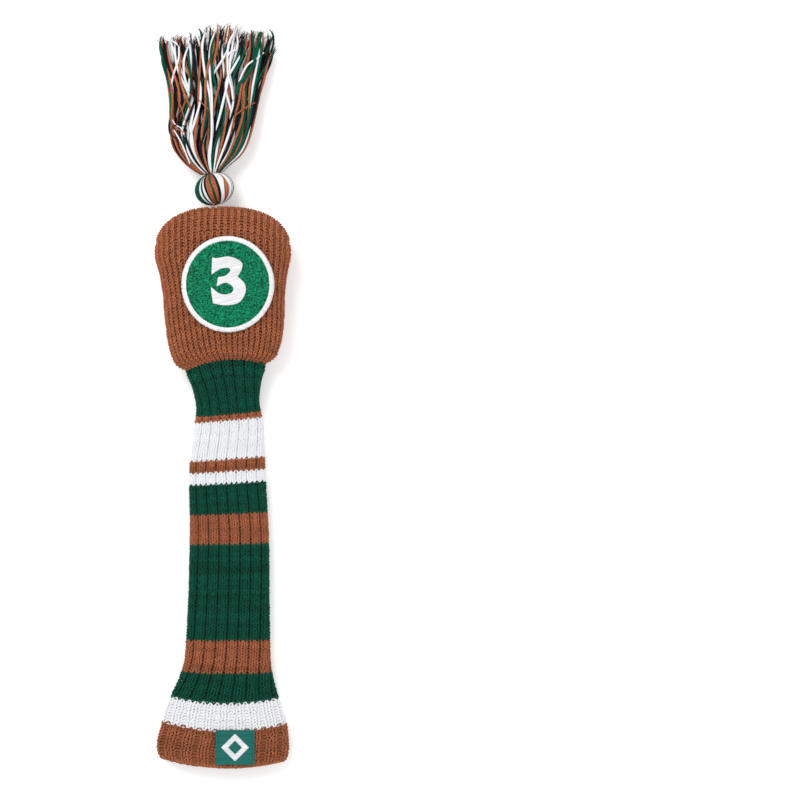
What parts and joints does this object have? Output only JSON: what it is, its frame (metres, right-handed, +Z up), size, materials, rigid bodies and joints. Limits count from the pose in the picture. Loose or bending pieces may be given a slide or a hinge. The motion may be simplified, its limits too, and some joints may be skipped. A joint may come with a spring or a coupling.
{
  "type": "golf club head cover",
  "caption": "Knitted head cover for a fairway wood: a padded pocket with a round number badge, a long striped ribbed sock with a flared mouth, and a yarn tassel on a short cord.",
  "frame": {"origin": "on the surface the cover lies on, under the middle of its whole length and width", "axes": "+Z up out of the badge, +Y along the length towards the tassel, +X to the right as seen from above"},
  "size_m": [0.1068, 0.5782, 0.0527],
  "materials": {
    "tan_knit": "matt ribbed acrylic knit, slightly fuzzy",
    "green_knit": "matt ribbed acrylic knit",
    "white_knit": "matt ribbed acrylic knit",
    "badge_felt": "mottled dense embroidery",
    "badge_white": "satin stitch embroidery",
    "label_satin": "woven satin label",
    "lining_knit": "soft fine knit",
    "elastic": "covered elastic",
    "sewing_thread": "twisted thread",
    "tassel_yarn_tan": "loose acrylic yarn",
    "tassel_yarn_green": "loose acrylic yarn",
    "tassel_yarn_white": "loose acrylic yarn",
    "tassel_yarn_navy": "loose acrylic yarn",
    "wood": "plain turned bead"
  },
  "bodies": {
    "cover": {"head_pocket": "tan_knit", "head_lining": "lining_knit", "badge_disc": "badge_felt", "badge_border": "badge_white", "numeral_3": "badge_white", "neck_rib": "green_knit", "neck_elastic": "elastic", "cord_knot": "sewing_thread"},
    "sock": {"stripe_tan_1": "tan_knit", "stripe_white_1": "white_knit", "stripe_tan_2": "tan_knit", "stripe_white_2": "white_knit", "stripe_green_1": "green_knit", "stripe_tan_3": "tan_knit", "stripe_green_2": "green_knit", "stripe_tan_4": "tan_knit", "stripe_green_3": "green_knit", "stripe_white_3": "white_knit", "hem_cuff": "tan_knit", "hem_label": "label_satin", "back_seam": "sewing_thread"},
    "tassel_cord": {"cord_loop": "sewing_thread"},
    "tassel": {"tassel_ball_core": "wood", "tassel_ball_wrap": "tassel_yarn_green", "tassel_binding": "tassel_yarn_tan", "tassel_bundle": "tassel_yarn_navy", "tassel_lock_1": "tassel_yarn_tan", "tassel_lock_2": "tassel_yarn_white", "tassel_lock_3": "tassel_yarn_green", "tassel_lock_4": "tassel_yarn_tan", "tassel_lock_5": "tassel_yarn_navy", "tassel_lock_6": "tassel_yarn_white", "tassel_lock_7": "tassel_yarn_tan"}
  },
  "joints": [
    {"name": "neck_fold", "type": "hinge", "parent": "cover", "child": "sock", "pos_m": [0, 0.00785, 0.0149], "axis": [-1, 0, 0], "range_deg": [-90, 90], "deforming": ["neck_rib"]},
    {"name": "tassel_swing", "type": "hinge", "parent": "cover", "child": "tassel_cord", "pos_m": [-0.0073, 0.14946, 0.0241], "axis": [0, 0, 1], "range_deg": [-25, 25]},
    {"name": "tassel_lift", "type": "hinge", "parent": "tassel_cord", "child": "tassel", "pos_m": [-0.0073, 0.14946, 0.0241], "axis": [1, 0, 0], "range_deg": [0, 60]}
  ]
}
